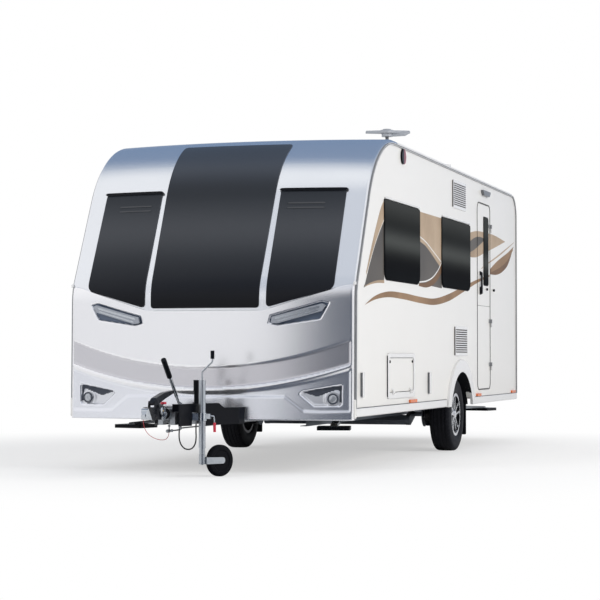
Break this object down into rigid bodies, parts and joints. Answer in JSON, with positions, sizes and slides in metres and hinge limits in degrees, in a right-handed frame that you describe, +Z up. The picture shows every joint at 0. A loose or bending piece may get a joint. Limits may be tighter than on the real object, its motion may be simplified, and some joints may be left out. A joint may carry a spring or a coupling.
{
  "type": "travel caravan",
  "caption": "Single-axle travel caravan with a bowed front and raked brow, large dark windows, side entrance door, overrun drawbar and jockey wheel.",
  "frame": {"origin": "on the ground, midway between the coupling's nose and the rear panel, on the centre line", "axes": "+X towards the entrance door's side, -Y in the towing direction, +Z up"},
  "size_m": [2.268, 7.6234, 2.7],
  "materials": {
    "wall_skin": "smooth coated aluminium sheet",
    "rear_moulding": "moulded, semi-gloss",
    "front_upper": "moulded, silver gel coat",
    "front_lower": "moulded, pale grey gel coat",
    "roof_skin": "hammered coated sheet",
    "floor_board": "bonded plywood sandwich",
    "acrylic": "dark tinted acrylic",
    "white_trim": "moulded, satin",
    "rail_alloy": "satin extrusion",
    "vent_plastic": "moulded",
    "lamp_lens": "clear-coated lens",
    "lamp_glass": "clear polycarbonate",
    "handle_grey": "moulded, satin",
    "hinge_metal": "coated",
    "galvanised": "hot-dip galvanised",
    "black_steel": "black coated",
    "cast_black": "painted casting",
    "cover_plastic": "grained moulding",
    "black_rubber": "moulded",
    "tyre": "tyre rubber",
    "alloy": "machined and painted",
    "lid_acrylic": "tinted dome",
    "lead_jacket": "cable jacket",
    "cable_red": "coated wire"
  },
  "bodies": {
    "caravan": {"awning_rails": "rail_alloy", "axle_tube": "galvanised", "brake_rod": "galvanised", "breakaway_cable": "cable_red", "cable_holders": "black_rubber", "chassis_frame": "galvanised", "coupling_head": "cast_black", "coupling_housing": "black_steel", "door_hinge_pins": "hinge_metal", "drawbar_cover": "cover_plastic", "drawbar_legs": "galvanised", "floor_panel": "floor_board", "front_lamps": "lamp_glass", "front_lower_panel": "front_lower", "front_upper_panel": "front_upper", "front_windows": "acrylic", "gaiter": "black_rubber", "grab_handles": "handle_grey", "hatch_frame": "white_trim", "jockey_clamp": "black_steel", "jockey_tube": "galvanised", "lead_plug": "black_rubber", "marker_lamps": "lamp_lens", "rear_bumper": "rear_moulding", "rear_lamps": "lamp_lens", "rear_panel": "rear_moulding", "roof_fittings": "white_trim", "roof_panel": "roof_skin", "side_wall_left": "wall_skin", "side_wall_right": "wall_skin", "side_windows": "acrylic", "skirt_rails": "white_trim", "steady_brackets": "galvanised", "swing_arms": "galvanised", "towing_lead": "lead_jacket", "vent_grilles": "vent_plastic", "wall_fittings": "vent_plastic", "wheel_boxes": "black_rubber", "wheel_spats": "white_trim"},
    "wheel_left": {"tyre_left": "tyre", "rim_left": "alloy"},
    "wheel_right": {"tyre_right": "tyre", "rim_right": "alloy"},
    "door": {"entrance_door": "wall_skin", "door_window": "acrylic", "door_fittings": "handle_grey"},
    "hatch": {"locker_hatch": "wall_skin"},
    "stabiliser": {"stabiliser_handle": "cast_black"},
    "handbrake": {"handbrake_lever": "black_steel"},
    "jockey_leg": {"jockey_spindle": "galvanised"},
    "jockey_swivel": {"jockey_fork": "galvanised"},
    "jockey_roller": {"jockey_wheel": "black_rubber"},
    "steady_front_left": {"steady_front_left": "galvanised"},
    "steady_front_right": {"steady_front_right": "galvanised"},
    "steady_rear_left": {"steady_rear_left": "galvanised"},
    "steady_rear_right": {"steady_rear_right": "galvanised"},
    "rooflight_front": {"rooflight_lid_front": "lid_acrylic"},
    "rooflight_rear": {"rooflight_lid_rear": "lid_acrylic"},
    "aerial": {"aerial_head": "handle_grey"}
  },
  "joints": [
    {"name": "wheel_left_spin", "type": "hinge", "parent": "caravan", "child": "wheel_left", "pos_m": [0.9845, 1.08, 0.325], "axis": [1, 0, 0], "continuous": true},
    {"name": "wheel_right_spin", "type": "hinge", "parent": "caravan", "child": "wheel_right", "pos_m": [-0.9845, 1.08, 0.325], "axis": [1, 0, 0], "continuous": true},
    {"name": "door_swing", "type": "hinge", "parent": "caravan", "child": "door", "pos_m": [1.124, 2.42, 1.2], "axis": [0, 0, 1], "range_deg": [0, 170]},
    {"name": "hatch_drop", "type": "hinge", "parent": "caravan", "child": "hatch", "pos_m": [1.126, -1.1, 0.566], "axis": [0, 1, 0], "range_deg": [0, 150]},
    {"name": "stabiliser_lift", "type": "hinge", "parent": "caravan", "child": "stabiliser", "pos_m": [0, -3.63, 0.532], "axis": [1, 0, 0], "range_deg": [0, 45]},
    {"name": "handbrake_pull", "type": "hinge", "parent": "caravan", "child": "handbrake", "pos_m": [-0.04, -3, 0.5], "axis": [1, 0, 0], "range_deg": [-40, 34]},
    {"name": "jockey_wind", "type": "slide", "parent": "caravan", "child": "jockey_leg", "axis": [0, 0, -1], "range_m": [0, 0.2]},
    {"name": "jockey_swivel_turn", "type": "hinge", "parent": "jockey_leg", "child": "jockey_swivel", "pos_m": [0.19, -3.16, 0.12], "axis": [0, 0, 1], "continuous": true},
    {"name": "jockey_roll", "type": "hinge", "parent": "jockey_swivel", "child": "jockey_roller", "pos_m": [0.27, -3.0214, 0.112], "axis": [0.866, -0.5, 0], "continuous": true},
    {"name": "steady_front_left_drop", "type": "hinge", "parent": "caravan", "child": "steady_front_left", "pos_m": [0.7, -1.51, 0.338], "axis": [0.9732, 0.23, 0], "range_deg": [0, 32]},
    {"name": "steady_front_right_drop", "type": "hinge", "parent": "caravan", "child": "steady_front_right", "pos_m": [-0.7, -1.51, 0.338], "axis": [0.9732, -0.23, 0], "range_deg": [0, 32]},
    {"name": "steady_rear_left_drop", "type": "hinge", "parent": "caravan", "child": "steady_rear_left", "pos_m": [0.7, 3.03, 0.338], "axis": [-0.9732, 0.23, 0], "range_deg": [0, 32]},
    {"name": "steady_rear_right_drop", "type": "hinge", "parent": "caravan", "child": "steady_rear_right", "pos_m": [-0.7, 3.03, 0.338], "axis": [-0.9732, -0.23, 0], "range_deg": [0, 32]},
    {"name": "rooflight_front_lift", "type": "hinge", "parent": "caravan", "child": "rooflight_front", "pos_m": [0, -0.948, 2.578], "axis": [1, 0, 0], "range_deg": [0, 40]},
    {"name": "rooflight_rear_lift", "type": "hinge", "parent": "caravan", "child": "rooflight_rear", "pos_m": [0, 1.592, 2.566], "axis": [1, 0, 0], "range_deg": [0, 40]},
    {"name": "aerial_turn", "type": "hinge", "parent": "caravan", "child": "aerial", "pos_m": [0.9, -0.72, 2.662], "axis": [0, 0, 1], "range_deg": [-175, 175]}
  ]
}
